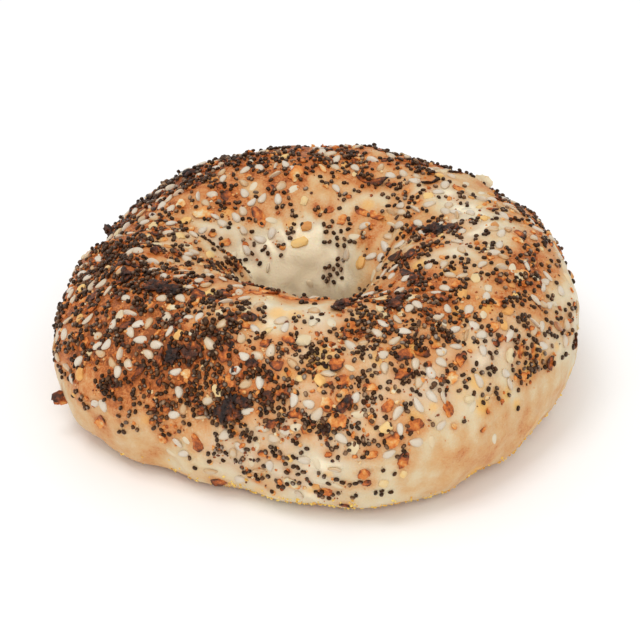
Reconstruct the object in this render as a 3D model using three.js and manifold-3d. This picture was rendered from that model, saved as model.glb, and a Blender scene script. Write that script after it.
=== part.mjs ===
// A large hand-rolled everything bagel, as one baked solid. The dough is a rope joined into a ring,
// boiled and then baked on a flat board, so it is round above and flat beneath, with the lap of the
// joint standing up on one side. Onion flakes, garlic bits and sesame seeds are baked into its crust;
// its poppy seeds and crumbs are finer than this solid goes.
// Units are millimetres, +Z is up, and the origin is the middle of the flat underside. A place on the
// crust is given by two angles in degrees: ring, round the hole from +X towards +Y, and tube, round the
// dough rope from 0 on the outside over 90 on the top to 180 at the hole.
import * as THREE from "three";
import { mergeVertices } from "three/addons/utils/BufferGeometryUtils.js";
import Module from "manifold-3d";

// The dough rope: the ring's middle line, and half the rope's width and height before it is flattened.
const RING_RADIUS = 34.6;
const ROPE_HALF_WIDTH = 22;
const ROPE_HALF_HEIGHT = 20.8;
// Uneven rolling, as waves round the ring: number of waves, ring angle of a crest, height of the crest.
const OUTSIDE_WAVES = [[1, 58, 0.8], [2, -32, 0.8], [4, 31, 2.1], [5, -11, 1.7]];
const HOLE_SIDE_WAVES = [[1, 1, 3.7], [2, -85, 1.0], [3, -2, 0.8]];
const HEIGHT_WAVES = [[1, -18, 1.4], [2, 79, 0.8], [3, -12, 0.8]];
// The board flattens the underside: how far the rope sinks, how softly its edge turns, and the last cut.
const SINK = 5;
const EDGE_SOFTNESS = 4;
const BOARD_CUT = 1;
// The uneven ring's middle, set so that the whole bagel's box is centred on the origin.
const RING_CENTRE = [-0.3, 1.3];

// The lap of the joint: a shoulder that stands up in front of a line leaning from outside to inside.
const LAP = { ring: 168, lean: 16, from: 30, over: 125, height: 3.6, reach: 20, rise: 2.6, back: 2.2 };
const LAP_GROOVE = { depth: 0.9, width: 1.3 };
// The wrinkle where the rope bends at the hole's right side.
const WRINKLE = { ring: 50, lean: -34, from: 110, over: 48, depth: 1.1, width: 1.6 };
// Swells and hollows of the crust: ring, tube, their spreads in degrees, and height.
const SWELLS = [[105, 147, 20, 9, 1.0], [270, 92, 9, 14, 0.9], [25, 95, 14, 30, -0.9]];

const RING_STEPS = 72;
const TUBE_STEPS = 22;
// Edges shorter than this are closed up after fusing.
const SLIVER = 0.05;

const RAD = Math.PI / 180;
const clamp = (x, low, high) => Math.min(high, Math.max(low, x));
const turn = (degrees) => ((((degrees + 180) % 360) + 360) % 360) - 180;
const ease = (x) => clamp(x, 0, 1) ** 2 * (3 - 2 * clamp(x, 0, 1));
const bell = (x) => Math.exp(-0.5 * x * x);
const waves = (ring, list) =>
  list.reduce((sum, [count, crest, height]) => sum + height * Math.cos(count * (ring - crest) * RAD), 0);

// How far the crust stands out of the plain rope at a place that is a radius away from the ring's axis.
function relief(ring, tube, radius) {
  const lapLean = clamp((tube - LAP.from) / LAP.over, 0, 1.2) ** 1.5;
  const pastLap = turn(ring - LAP.ring + LAP.lean * lapLean) * RAD * radius;
  const shoulder = LAP.height * ease((pastLap + LAP.back) / (LAP.back + LAP.rise))
    * bell(Math.max(pastLap - LAP.rise, 0) / LAP.reach);
  const groove = LAP_GROOVE.depth * bell((pastLap + LAP.back) / LAP_GROOVE.width);
  const lap = (shoulder - groove) * ease((tube + 5) / 45) * ease((205 - tube) / 40);

  const wrinkleLean = clamp((tube - WRINKLE.from) / WRINKLE.over, 0, 1);
  const fromWrinkle = turn(ring - WRINKLE.ring - WRINKLE.lean * wrinkleLean) * RAD * radius;
  const wrinkle = WRINKLE.depth * bell(fromWrinkle / WRINKLE.width)
    * ease((tube - 105) / 20) * ease((200 - tube) / 25);

  const swell = SWELLS.reduce((sum, [atRing, atTube, ringSpread, tubeSpread, height]) =>
    sum + height * bell(turn(ring - atRing) / ringSpread) * bell((tube - atTube) / tubeSpread), 0);
  return lap - wrinkle + swell;
}

// The point of the crust at a ring angle and a tube angle.
function crustPoint(ring, tube) {
  const [across, up] = [Math.cos(tube * RAD), Math.sin(tube * RAD)];
  const outside = (1 + across) / 2;
  const halfWidth = ROPE_HALF_WIDTH + waves(ring, OUTSIDE_WAVES) * outside
    + waves(ring, HOLE_SIDE_WAVES) * (1 - outside);
  const halfHeight = ROPE_HALF_HEIGHT + waves(ring, HEIGHT_WAVES);
  const out = relief(ring, tube > 270 ? tube - 360 : tube, RING_RADIUS + halfWidth * across);
  const radius = RING_RADIUS + (halfWidth + out) * across;
  const height = halfHeight + (halfHeight + out) * up - SINK;
  const pressed = (height + Math.hypot(height, EDGE_SOFTNESS)) / 2 - BOARD_CUT;
  return new THREE.Vector3(
    RING_CENTRE[0] + radius * Math.cos(ring * RAD),
    RING_CENTRE[1] + radius * Math.sin(ring * RAD),
    Math.max(pressed, 0),
  );
}

// The crust's outward normal, from two short steps along it.
function crustNormal(ring, tube) {
  const step = 0.5;
  const alongRing = crustPoint(ring + step, tube).sub(crustPoint(ring - step, tube));
  const alongTube = crustPoint(ring, tube + step).sub(crustPoint(ring, tube - step));
  return alongRing.cross(alongTube).normalize();
}

// The bare dough ring, as a net of quads round the ring and round the rope.
function doughGeometry() {
  const points = [];
  const faces = [];
  const at = (i, j) => (i % RING_STEPS) * TUBE_STEPS + (j % TUBE_STEPS);
  for (let i = 0; i < RING_STEPS; i++) {
    for (let j = 0; j < TUBE_STEPS; j++) {
      points.push(...crustPoint((i * 360) / RING_STEPS, (j * 360) / TUBE_STEPS).toArray());
      faces.push(at(i, j), at(i + 1, j), at(i + 1, j + 1), at(i, j), at(i + 1, j + 1), at(i, j + 1));
    }
  }
  const geometry = new THREE.BufferGeometry();
  geometry.setAttribute("position", new THREE.Float32BufferAttribute(points, 3));
  geometry.setIndex(faces);
  return geometry;
}

// Where the toppings lie thickly and thinly: ring, tube, spreads in degrees, and weight.
const THICK_PLACES = [
  [130, 62, 26, 20, 1.0], [182, 95, 14, 30, 0.9], [212, 70, 20, 32, 0.9], [240, 48, 16, 22, 0.9],
  [80, 62, 22, 16, 0.6], [8, 115, 16, 12, 0.9], [305, 98, 18, 14, 0.9], [335, 40, 22, 24, 0.4],
];
const THIN_PLACES = [
  [105, 132, 38, 16, 0.9], [28, 78, 10, 22, 0.7], [302, 48, 15, 16, 0.7], [272, 92, 9, 14, 0.8],
];
const USUAL_COVER = 0.42;
const LEAST_COVER = 0.04;
// The dough was dipped from above, so its sides are bare low down, though at the front the toppings
// reach almost to the board, and the hole's wall is bare from half-way down.
const LOW_EDGE = { tube: 0, softness: 24, dip: 34, ring: 272, spread: 22 };
const HOLE_EDGE = { tube: 150, softness: 26 };

// The share of toppings kept at a place, from 0 to 1.
function cover(ring, tube) {
  const near = ([atRing, atTube, ringSpread, tubeSpread, weight]) =>
    weight * bell(turn(ring - atRing) / ringSpread) * bell((tube - atTube) / tubeSpread);
  const thick = THICK_PLACES.reduce((sum, place) => sum + near(place), USUAL_COVER);
  const thin = THIN_PLACES.reduce((sum, place) => sum + near(place), 0);
  const lowEdge = LOW_EDGE.tube - LOW_EDGE.dip * bell(turn(ring - LOW_EDGE.ring) / LOW_EDGE.spread);
  const aboveLowEdge = ease((tube - lowEdge) / LOW_EDGE.softness);
  const beforeHoleEdge = ease((HOLE_EDGE.tube - tube) / HOLE_EDGE.softness);
  return clamp(thick - thin, LEAST_COVER, 1) * aboveLowEdge * beforeHoleEdge;
}

// A seeded draw from 0 to 1, the same on every run.
let seed = 20261;
function draw() {
  seed = (seed * 16807) % 2147483647;
  return seed / 2147483647;
}
const between = (low, high) => low + (high - low) * draw();

// Moves each corner of a geometry, after its faces are made to share corners.
function reshape(geometry, move) {
  geometry.deleteAttribute("normal");
  geometry.deleteAttribute("uv");
  const shared = mergeVertices(geometry, 1e-4);
  const corners = shared.attributes.position;
  for (let i = 0; i < corners.count; i++) {
    corners.setXYZ(i, ...move(new THREE.Vector3().fromBufferAttribute(corners, i)).toArray());
  }
  return shared;
}

// The toppings' shapes, each about one unit long, wide and thick.
const SHAPES = {
  // Onion: a torn flake, a thin six-cornered plate with an uneven edge, curled along its length.
  onion() {
    const curl = between(-0.5, 0.9);
    const edge = Array.from({ length: 6 }, () => between(0.75, 1.15));
    return reshape(new THREE.CylinderGeometry(0.5, 0.42, 1, 6, 1).rotateX(Math.PI / 2), (p) => {
      const corner = Math.round(Math.atan2(p.y, p.x) / (Math.PI / 3) + 6) % 6;
      const share = Math.hypot(p.x, p.y) > 0.01 ? edge[corner] : 1;
      return p.set(p.x * share, p.y * share, p.z - curl * p.x * p.x);
    });
  },
  // Garlic: a crushed granule with flat sides.
  garlic() {
    const skew = between(-0.3, 0.3);
    return reshape(new THREE.IcosahedronGeometry(0.56, 0), (p) => p.setX(p.x + skew * p.y));
  },
  // Sesame: a flat drop, pointed at one end.
  sesame() {
    return reshape(new THREE.SphereGeometry(0.5, 5, 4).rotateZ(Math.PI / 2), (p) => {
      const taper = 1 - 0.55 * Math.max(0, p.x * 2) ** 2;
      return p.set(p.x, p.y * taper, p.z * taper);
    });
  },
};

// The flakes and burnt lumps that stand out most: kind, ring, tube, length, width, thickness, and the
// angle that the length makes with the direction round the ring.
const SINGLE_TOPPINGS = [
  ["onion", 204, -14, 3.4, 2.6, 1.6, 70],
  ["onion", 148, 25, 3.0, 2.2, 1.6, 80],
  ["onion", 41, 49, 4.2, 3.0, 1.1, 20],
  ["onion", 346, 6, 3.6, 2.4, 1.2, 90],
  ["garlic", 214, 80, 6.2, 3.2, 2.2, 10],
  ["garlic", 233, 45, 5.0, 4.2, 2.2, 40],
  ["garlic", 250, 23, 6.0, 5.0, 2.2, 80],
  ["garlic", 8, 113, 5.4, 4.2, 2.2, 60],
  ["garlic", 346, 125, 4.6, 3.4, 2.0, 20],
  ["garlic", 298, 94, 5.4, 3.2, 2.0, 0],
  ["onion", 66, 105, 5.8, 3.0, 1.2, 10],
  ["onion", 125, 123, 4.4, 2.8, 1.0, 80],
  ["garlic", 107, 149, 3.6, 2.4, 1.4, 0],
  ["garlic", 266, 72, 3.6, 3.0, 1.8, 0],
  ["onion", 274, 27, 4.8, 4.2, 1.2, 30],
  ["onion", 285, 18, 4.8, 3.4, 1.2, 50],
  ["onion", 298, 27, 4.6, 3.2, 1.2, 90],
  ["onion", 217, -11, 4.0, 3.0, 1.0, 60],
  ["onion", 246, -33, 4.0, 2.8, 1.2, 0],
];

// The scattered toppings, the largest kind first: how many, length, width and thickness, and the gap
// kept between middles.
const SCATTERED_TOPPINGS = [
  { kind: "onion", count: 42, size: [4.4, 3.1, 1.1], spacing: 6 },
  { kind: "garlic", count: 26, size: [2.9, 2.2, 1.6], spacing: 5 },
  { kind: "sesame", count: 96, size: [3.0, 1.9, 1.2], spacing: 3.6 },
];
const SIZE_SPREAD = 0.2;
const LEAN_SPREAD = 14;
// How far a topping's middle stands above the crust, as a share of its thickness.
const PROUD = 0.2;

// One topping, lying on the crust.
function topping(kind, ring, tube, size, spin, lean) {
  const out = crustNormal(ring, tube);
  const along = new THREE.Vector3(-Math.sin(ring * RAD), Math.cos(ring * RAD), 0);
  const up = out.clone().cross(along).normalize();
  const turned = new THREE.Matrix4().makeBasis(up.clone().cross(out).normalize(), up, out)
    .multiply(new THREE.Matrix4().makeRotationZ(spin * RAD))
    .multiply(new THREE.Matrix4().makeRotationX(lean * RAD));
  const middle = crustPoint(ring, tube).addScaledVector(out, size[2] * PROUD);
  const shape = SHAPES[kind]();
  return shape.applyMatrix4(turned.scale(new THREE.Vector3(...size)).setPosition(middle));
}

// Every topping: the single ones, then each scattered kind, drawn all over the crust and kept by the
// cover there and by the gap to those already laid.
function toppings() {
  const laid = [];
  const made = SINGLE_TOPPINGS.map(([kind, ring, tube, length, width, thickness, spin]) => {
    laid.push({ place: crustPoint(ring, tube), spacing: length });
    return topping(kind, ring, tube, [length, width, thickness], spin, 0);
  });
  const farthestOut = RING_RADIUS + ROPE_HALF_WIDTH;
  for (const { kind, count, size, spacing } of SCATTERED_TOPPINGS) {
    const wanted = made.length + count;
    for (let tries = 0; tries < count * 80 && made.length < wanted; tries++) {
      const [ring, tube, chance] = [between(0, 360), between(-40, 170), draw()];
      const place = crustPoint(ring, tube);
      const share = Math.hypot(place.x, place.y) / farthestOut;
      const crowded = laid.some((other) => other.place.distanceTo(place) < (other.spacing + spacing) / 2);
      if (chance > cover(ring, tube) * share || crowded) continue;
      laid.push({ place, spacing });
      const grown = between(1 - SIZE_SPREAD, 1 + SIZE_SPREAD);
      const spin = between(0, 360);
      const lean = between(-LEAN_SPREAD, LEAN_SPREAD);
      made.push(topping(kind, ring, tube, size.map((side) => side * grown), spin, lean));
    }
  }
  return made;
}

const wasm = await Module();
wasm.setup();

function solidOf(geometry) {
  geometry.deleteAttribute("normal");
  geometry.deleteAttribute("uv");
  const shared = mergeVertices(geometry, 1e-4);
  return new wasm.Manifold(new wasm.Mesh({
    numProp: 3,
    vertProperties: shared.attributes.position.array,
    triVerts: new Uint32Array(shared.index.array),
  }));
}

function geometryOf(solid) {
  const mesh = solid.getMesh();
  const geometry = new THREE.BufferGeometry();
  geometry.setAttribute("position", new THREE.Float32BufferAttribute(mesh.vertProperties, 3));
  geometry.setIndex(Array.from(mesh.triVerts));
  geometry.computeVertexNormals();
  return geometry;
}

// The dough with every topping fused on, without slivers. Only the largest body is kept, which drops
// any loose scrap and fills any hollow that the fusing shut in.
function bagelGeometry() {
  const fused = wasm.Manifold.union([doughGeometry(), ...toppings()].map(solidOf)).simplify(SLIVER);
  const bodies = fused.decompose().sort((a, b) => b.volume() - a.volume());
  return geometryOf(bodies[0]);
}

const crust = new THREE.MeshStandardMaterial({ color: 0xd29a5c, roughness: 0.62, metalness: 0 });
const bagel = new THREE.Mesh(bagelGeometry(), crust);
bagel.name = "bagel";

const part = new THREE.Group();
part.add(bagel);
export default part;
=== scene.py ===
# A large everything bagel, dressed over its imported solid. The dough ring is modelled afresh, finer than
# the solid and with the same formulas, and every seed, flake and crumb is laid on it as a real shape.
# Sizes are millimetres unless a name says otherwise. A place on the crust is two angles in degrees: ring,
# round the hole from +X towards +Y, and tube, round the dough rope from 0 on the outside over 90 on the
# top to 180 at the hole.
import itertools
import math

import bmesh
import bpy
import numpy as np
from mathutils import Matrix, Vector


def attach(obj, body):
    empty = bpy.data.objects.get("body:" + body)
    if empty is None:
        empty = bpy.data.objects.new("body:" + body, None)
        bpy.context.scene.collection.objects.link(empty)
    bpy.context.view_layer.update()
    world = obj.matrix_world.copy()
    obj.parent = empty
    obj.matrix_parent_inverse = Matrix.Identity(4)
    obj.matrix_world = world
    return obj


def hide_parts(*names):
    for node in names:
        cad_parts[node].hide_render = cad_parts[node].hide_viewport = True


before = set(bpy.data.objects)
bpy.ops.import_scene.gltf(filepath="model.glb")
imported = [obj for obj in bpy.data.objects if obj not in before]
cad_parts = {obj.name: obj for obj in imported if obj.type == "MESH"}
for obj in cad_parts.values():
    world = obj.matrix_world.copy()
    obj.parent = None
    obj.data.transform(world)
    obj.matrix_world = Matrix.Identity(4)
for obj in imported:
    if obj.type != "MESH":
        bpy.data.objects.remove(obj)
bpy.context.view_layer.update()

# The table and the studio. A wide sheet of pale matt board carries the bagel. One large soft box hangs
# over it a little to the front left, a wider one stands before it, and pale walls fill in the rest.
MM = 0.001
TABLE_SIDE_M = 4.0
TABLE_DROP_M = 0.00005
WALL_BRIGHTNESS = 0.78
BAGEL_MIDDLE_M = (0, 0, 0.02)
OVERHEAD_BOX = dict(place_m=(-0.22, -0.25, 0.85), side_m=0.36, watts=2.2)
FRONT_BOX = dict(place_m=(0.12, -0.9, 0.78), side_m=0.5, watts=2.5)
scene = bpy.context.scene


def paint(red, green, blue):
    """A display colour, 0 to 255, as the linear colour that a shader takes."""
    shares = [value / 255 for value in (red, green, blue)]
    return [s / 12.92 if s <= 0.04045 else ((s + 0.055) / 1.055) ** 2.4 for s in shares] + [1.0]


def add_object(name, data):
    made = bpy.data.objects.new(name, data)
    scene.collection.objects.link(made)
    return made


def set_inputs(node, **values):
    """Set the inputs of a node whose labels, in small letters with _ for a space, are given."""
    for socket in node.inputs:
        label = socket.name.lower().replace(" ", "_")
        if label in values:
            socket.default_value = values[label]


def mesh_piece(name, corners, faces, smooth=True):
    """A mesh object from corners in millimetres and faces that all have the same number of sides."""
    mesh = bpy.data.meshes.new(name)
    faces = np.asarray(faces, dtype=np.int32)
    mesh.vertices.add(len(corners))
    mesh.vertices.foreach_set("co", (np.asarray(corners) * MM).astype(np.float32).ravel())
    mesh.loops.add(faces.size)
    mesh.loops.foreach_set("vertex_index", faces.ravel())
    mesh.polygons.add(len(faces))
    mesh.polygons.foreach_set("loop_start", np.arange(len(faces), dtype=np.int32) * faces.shape[1])
    mesh.update(calc_edges=True)
    mesh.validate()
    mesh.polygons.foreach_set("use_smooth", np.full(len(mesh.polygons), smooth))
    return add_object(name, mesh)


def dress(piece, finish):
    piece.data.materials.append(finish)


def new_finish(name, roughness, specular=0.5):
    """A material with its node tree and its surface shader."""
    finish = bpy.data.materials.new(name)
    finish.use_nodes = True
    shader = finish.node_tree.nodes["Principled BSDF"]
    set_inputs(shader, roughness=roughness, specular_ior_level=specular)
    return finish, finish.node_tree, shader


half = TABLE_SIDE_M / 2 / MM
table_corners = [(-half, -half, 0), (half, -half, 0), (half, half, 0), (-half, half, 0)]
table = mesh_piece("table", table_corners, [(0, 1, 2, 3)])
table.location.z = -TABLE_DROP_M
table_finish, _, table_shader = new_finish("pale_board", 0.9, 0.1)
set_inputs(table_shader, base_color=paint(253, 253, 253))
dress(table, table_finish)

world = bpy.data.worlds.new("pale_walls")
world.use_nodes = True
set_inputs(world.node_tree.nodes["Background"], color=paint(255, 255, 255), strength=WALL_BRIGHTNESS)
scene.world = world
scene.view_settings.view_transform = "Standard"


def soft_box(name, place_m, side_m, watts):
    """A square soft light that looks at the middle of the bagel."""
    light = bpy.data.lights.new(name, "AREA")
    light.shape = "SQUARE"
    light.size = side_m
    light.energy = watts
    lamp = add_object(name, light)
    lamp.location = place_m
    way = (Vector(BAGEL_MIDDLE_M) - Vector(place_m)).normalized()
    lamp.rotation_euler = way.to_track_quat("-Z", "Y").to_euler()


soft_box("overhead_box", **OVERHEAD_BOX)
soft_box("front_box", **FRONT_BOX)

# The camera looks down on the bagel from in front with a long lens, as product photographs do. The lens
# follows from the pixels that a millimetre of bagel takes.
CAMERA_ELEVATION = math.radians(32)
CAMERA_DISTANCE_M = 0.52
CAMERA_AIM_M = (0.0002, -0.0001, 0.0161)
PIXELS_PER_MM = 4.58
PICTURE_PIXELS = 640
camera_data = bpy.data.cameras.new("camera")
camera_data.sensor_width = 36
camera_data.lens = camera_data.sensor_width * PIXELS_PER_MM * CAMERA_DISTANCE_M / MM / PICTURE_PIXELS
camera = add_object("camera", camera_data)
camera.location = (
    CAMERA_AIM_M[0],
    CAMERA_AIM_M[1] - CAMERA_DISTANCE_M * math.cos(CAMERA_ELEVATION),
    CAMERA_AIM_M[2] + CAMERA_DISTANCE_M * math.sin(CAMERA_ELEVATION),
)
camera.rotation_euler = (math.pi / 2 - CAMERA_ELEVATION, 0, 0)
scene.camera = camera

# The dough ring. It is a rope of stiff wheat dough joined into a ring, boiled to set a thin chewy skin,
# then baked on a board sprinkled with meal: round above, flat beneath, with the lap of the joint standing
# up at the left. Its own browning comes from the oven, strongest on the left lobe and the back rim.
RING_RADIUS = 34.6
ROPE_HALF_WIDTH = 22.0
ROPE_HALF_HEIGHT = 20.8
OUTSIDE_WAVES = [(1, 58, 0.8), (2, -32, 0.8), (4, 31, 2.1), (5, -11, 1.7)]
HOLE_SIDE_WAVES = [(1, 1, 3.7), (2, -85, 1), (3, -2, 0.8)]
HEIGHT_WAVES = [(1, -18, 1.4), (2, 79, 0.8), (3, -12, 0.8)]
SINK, EDGE_SOFTNESS, BOARD_CUT = 5.0, 4.0, 1.0
MEAL_UNDER = 0.3
RING_CENTRE = (-0.3, 1.3)
LAP = dict(ring=168, lean=16, start=30, over=125, height=3.6, reach=20, rise=2.6, back=2.2)
LAP_ENDS = dict(low=-5, low_fade=45, high=205, high_fade=40)
LAP_GROOVE = dict(depth=0.9, width=1.3)
WRINKLE = dict(ring=50, lean=-34, start=110, over=48, depth=1.1, width=1.6)
WRINKLE_ENDS = dict(low=105, low_fade=20, high=200, high_fade=25)
SWELLS = [(105, 147, 20, 9, 100), (270, 92, 9, 14, 90), (25, 95, 14, 30, -90)]
LUMPS = [(17, 0.3), (7, 0.13), (3.2, 0.05)]
RING_STEPS, TUBE_STEPS = 420, 228
RAD = math.pi / 180


def turn(degrees):
    return (degrees + 180) % 360 - 180


def ease(x):
    x = np.clip(x, 0, 1)
    return x * x * (3 - 2 * x)


def bell(x):
    return np.exp(-0.5 * x * x)


def waves(ring, crests):
    return sum(height * np.cos(count * (ring - crest) * RAD) for count, crest, height in crests)


def ripples(wavelength, seed, count=28):
    """An uneven field over space, about 1 high, whose swells are a wavelength apart."""
    draws = np.random.default_rng(seed)
    ways = draws.normal(size=(count, 3))
    ways *= math.tau / wavelength / np.linalg.norm(ways, axis=1, keepdims=True)
    ways *= draws.uniform(0.7, 1.4, (count, 1))
    starts = draws.uniform(0, math.tau, count)
    return lambda points: np.cos(points @ ways.T + starts).sum(-1) * math.sqrt(2 / count)


lump_fields = [(ripples(wavelength, 40 + i), height) for i, (wavelength, height) in enumerate(LUMPS)]


def between(tube, ends):
    """1 between two tube angles, fading to 0 past each."""
    return ease((tube - ends["low"]) / ends["low_fade"]) * ease((ends["high"] - tube) / ends["high_fade"])


def near_places(ring, tube, places):
    """The sum of soft patches, each a ring and tube angle, their spreads, and a weight in hundredths."""
    return sum(
        weight / 100 * bell(turn(ring - at_ring) / ring_spread) * bell((tube - at_tube) / tube_spread)
        for at_ring, at_tube, ring_spread, tube_spread, weight in places
    )


def relief(ring, tube, radius):
    """How far the crust stands out of the plain rope: the lap, the wrinkle and the swells."""
    lap_lean = np.clip((tube - LAP["start"]) / LAP["over"], 0, 1.2) ** 1.5
    past_lap = turn(ring - LAP["ring"] + LAP["lean"] * lap_lean) * RAD * radius
    shoulder = LAP["height"] * ease((past_lap + LAP["back"]) / (LAP["back"] + LAP["rise"]))
    shoulder *= bell(np.maximum(past_lap - LAP["rise"], 0) / LAP["reach"])
    groove = LAP_GROOVE["depth"] * bell((past_lap + LAP["back"]) / LAP_GROOVE["width"])
    lap = (shoulder - groove) * between(tube, LAP_ENDS)
    wrinkle_lean = np.clip((tube - WRINKLE["start"]) / WRINKLE["over"], 0, 1)
    from_wrinkle = turn(ring - WRINKLE["ring"] - WRINKLE["lean"] * wrinkle_lean) * RAD * radius
    wrinkle = WRINKLE["depth"] * bell(from_wrinkle / WRINKLE["width"]) * between(tube, WRINKLE_ENDS)
    return lap - wrinkle + near_places(ring, tube, SWELLS)


def crust(ring, tube):
    """The points of the crust at ring and tube angles, in millimetres, lumps and all."""
    ring, tube = np.broadcast_arrays(np.asarray(ring, float), np.asarray(tube, float))
    tube = np.where(tube > 270, tube - 360, tube)
    across, up = np.cos(tube * RAD), np.sin(tube * RAD)
    outside = (1 + across) / 2
    half_width = ROPE_HALF_WIDTH + waves(ring, OUTSIDE_WAVES) * outside
    half_width = half_width + waves(ring, HOLE_SIDE_WAVES) * (1 - outside)
    half_height = ROPE_HALF_HEIGHT + waves(ring, HEIGHT_WAVES)

    def placed(out):
        radius = RING_RADIUS + (half_width + out) * across
        height = half_height + (half_height + out) * up - SINK
        pressed = (height + np.hypot(height, EDGE_SOFTNESS)) / 2 - BOARD_CUT
        x = RING_CENTRE[0] + radius * np.cos(ring * RAD)
        y = RING_CENTRE[1] + radius * np.sin(ring * RAD)
        return np.stack([x, y, np.maximum(pressed, MEAL_UNDER)], -1)

    out = relief(ring, tube, RING_RADIUS + half_width * across)
    smooth = placed(out)
    lumps = sum(height * field(smooth) for field, height in lump_fields)
    return placed(out + lumps)


def crust_frames(ring, tube, step=1.2):
    """For each place, its point and the ways along the ring, up the rope and out of the crust."""
    along = crust(ring + step, tube) - crust(ring - step, tube)
    up = crust(ring, tube + step) - crust(ring, tube - step)
    out = np.cross(along, up)
    out /= np.linalg.norm(out, axis=-1, keepdims=True)
    along /= np.linalg.norm(along, axis=-1, keepdims=True)
    return crust(ring, tube), np.stack([along, np.cross(out, along), out], -1)


dough_rings, dough_tubes = np.meshgrid(
    np.arange(RING_STEPS) * 360 / RING_STEPS, np.arange(TUBE_STEPS) * 360 / TUBE_STEPS, indexing="ij"
)
dough_points = crust(dough_rings, dough_tubes)
step_i, step_j = np.meshgrid(np.arange(RING_STEPS), np.arange(TUBE_STEPS), indexing="ij")
next_i, next_j = (step_i + 1) % RING_STEPS, (step_j + 1) % TUBE_STEPS
cell_corners = ((step_i, step_j), (next_i, step_j), (next_i, next_j), (step_i, next_j))
dough_faces = np.stack([i * TUBE_STEPS + j for i, j in cell_corners], -1)
dough = mesh_piece("dough_ring", dough_points.reshape(-1, 3), dough_faces.reshape(-1, 4))
unrolled = [
    np.stack([(step_i + i) / RING_STEPS, (step_j + j) / TUBE_STEPS], -1)
    for i, j in ((0, 0), (1, 0), (1, 1), (0, 1))
]
unrolled = np.stack(unrolled, 2)
dough.data.uv_layers.new(name="OFBake").data.foreach_set("uv", unrolled.astype(np.float32).ravel())

# How far the oven browned the crust at each place: 0 is cream, 0.45 is tan, 1 is dark brown. In the hole it
# also holds painted light: the paler places at tube 147 and over lift the crust out of the hole's shade,
# and the browner place at ring 20, tube 152 is partly painted shade on the hole's right wall.
PLAIN_BROWNING = 0.4
# The row at ring 20, tube 152 darkens the hole's right wall: partly its browner crust and partly painted
# shade.
BROWNER_PLACES_AND_PAINTED_SHADE = [
    (206, 60, 26, 32, 32), (242, 42, 16, 22, 18), (122, 55, 30, 20, 34), (84, 66, 22, 20, 12),
    (110, 100, 26, 14, 10), (308, 98, 14, 11, 18), (172, 132, 10, 16, 4), (316, -4, 24, 18, 6),
    (20, 152, 18, 12, 20), (60, 172, 30, 8, 8), (338, 66, 12, 12, 8), (262, 113, 10, 8, 16),
    (220, 112, 12, 8, 10), (102, 114, 12, 10, 10), (38, 148, 12, 12, 12), (120, 48, 12, 12, 10),
    (334, 50, 10, 10, 7), (118, 130, 12, 10, 8), (75, 128, 30, 12, 8), (304, 128, 16, 10, 24),
    (30, 110, 12, 9, 13), (28, 50, 16, 10, 13), (0, 60, 10, 14, 10), (38, 72, 10, 9, 15),
    (180, 112, 9, 8, 14), (222, -16, 14, 12, 11), (350, 52, 14, 14, 14), (0, 72, 10, 10, 8),
    (232, 112, 16, 8, 10), (20, 112, 9, 9, 8), (300, 110, 9, 8, 6), (160, 150, 9, 9, 16),
    (300, -8, 12, 12, 6), (284, -8, 9, 12, 12), (88, 126, 24, 9, 7), (120, 123, 12, 9, 7),
]
# The rows at tube 147 and over lie in the hole: partly its paler crust and partly painted light that lifts
# the wall out of the hole's shade.
PALER_PLACES_AND_PAINTED_LIGHT = [
    (125, 150, 34, 20, 38), (74, 162, 40, 20, 24), (20, 90, 20, 18, 34), (302, 44, 14, 15, 22),
    (267, 8, 16, 34, 36), (262, 90, 14, 18, 28), (284, 104, 10, 9, 14), (350, 100, 16, 14, 20),
    (154, 103, 14, 13, 20), (90, 172, 60, 14, 10), (60, 104, 26, 14, 12), (205, 112, 14, 8, 10),
    (262, -16, 18, 16, 16), (0, 26, 20, 28, 20), (322, 38, 14, 20, 12), (8, 130, 14, 9, 20),
    (240, 84, 12, 14, 17), (344, 24, 12, 20, 8), (292, 44, 14, 14, 10), (272, 88, 14, 12, 6),
    (160, 118, 14, 15, 14), (196, 102, 14, 10, 8), (142, 84, 12, 16, 7), (66, 126, 14, 10, 8),
    (222, 8, 10, 14, 8), (140, 147, 10, 12, 10), (266, 68, 12, 12, 6), (190, 90, 14, 9, 10),
    (240, 70, 10, 10, 13), (320, 50, 9, 9, 13), (342, 82, 10, 14, 10), (0, 8, 14, 16, 10),
    (181, 90, 10, 9, 24), (220, 70, 10, 9, 13), (200, 56, 9, 16, 6), (62, 70, 9, 9, 13),
    (160, 110, 9, 8, 8), (140, 70, 9, 9, 6), (200, 70, 9, 8, 6), (202, -12, 8, 10, 20),
    (250, 4, 10, 11, 13),
]
UNDERSIDE_BROWNING = 0.2
UNDERSIDE_DEPTH = 2.5
BLOTCHES = [(11, 51, 0.05), (4.5, 52, 0.035)]


def attribute(piece, name, values):
    values = np.ascontiguousarray(values, dtype=np.float32).ravel()
    piece.data.attributes.new(name, "FLOAT", "POINT").data.foreach_set("value", values)


dough_turns = np.where(dough_tubes > 270, dough_tubes - 360, dough_tubes)
browning_and_painted_light = PLAIN_BROWNING + near_places(dough_rings, dough_turns, BROWNER_PLACES_AND_PAINTED_SHADE)
browning_and_painted_light = browning_and_painted_light - near_places(dough_rings, dough_turns, PALER_PLACES_AND_PAINTED_LIGHT)
browning_and_painted_light = browning_and_painted_light + UNDERSIDE_BROWNING * (1 - ease(dough_points[..., 2] / UNDERSIDE_DEPTH))
for wavelength, seed, height in BLOTCHES:
    browning_and_painted_light = browning_and_painted_light + height * ripples(wavelength, seed)(dough_points)
attribute(dough, "browning_and_painted_light", np.clip(browning_and_painted_light, 0, 1))


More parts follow.
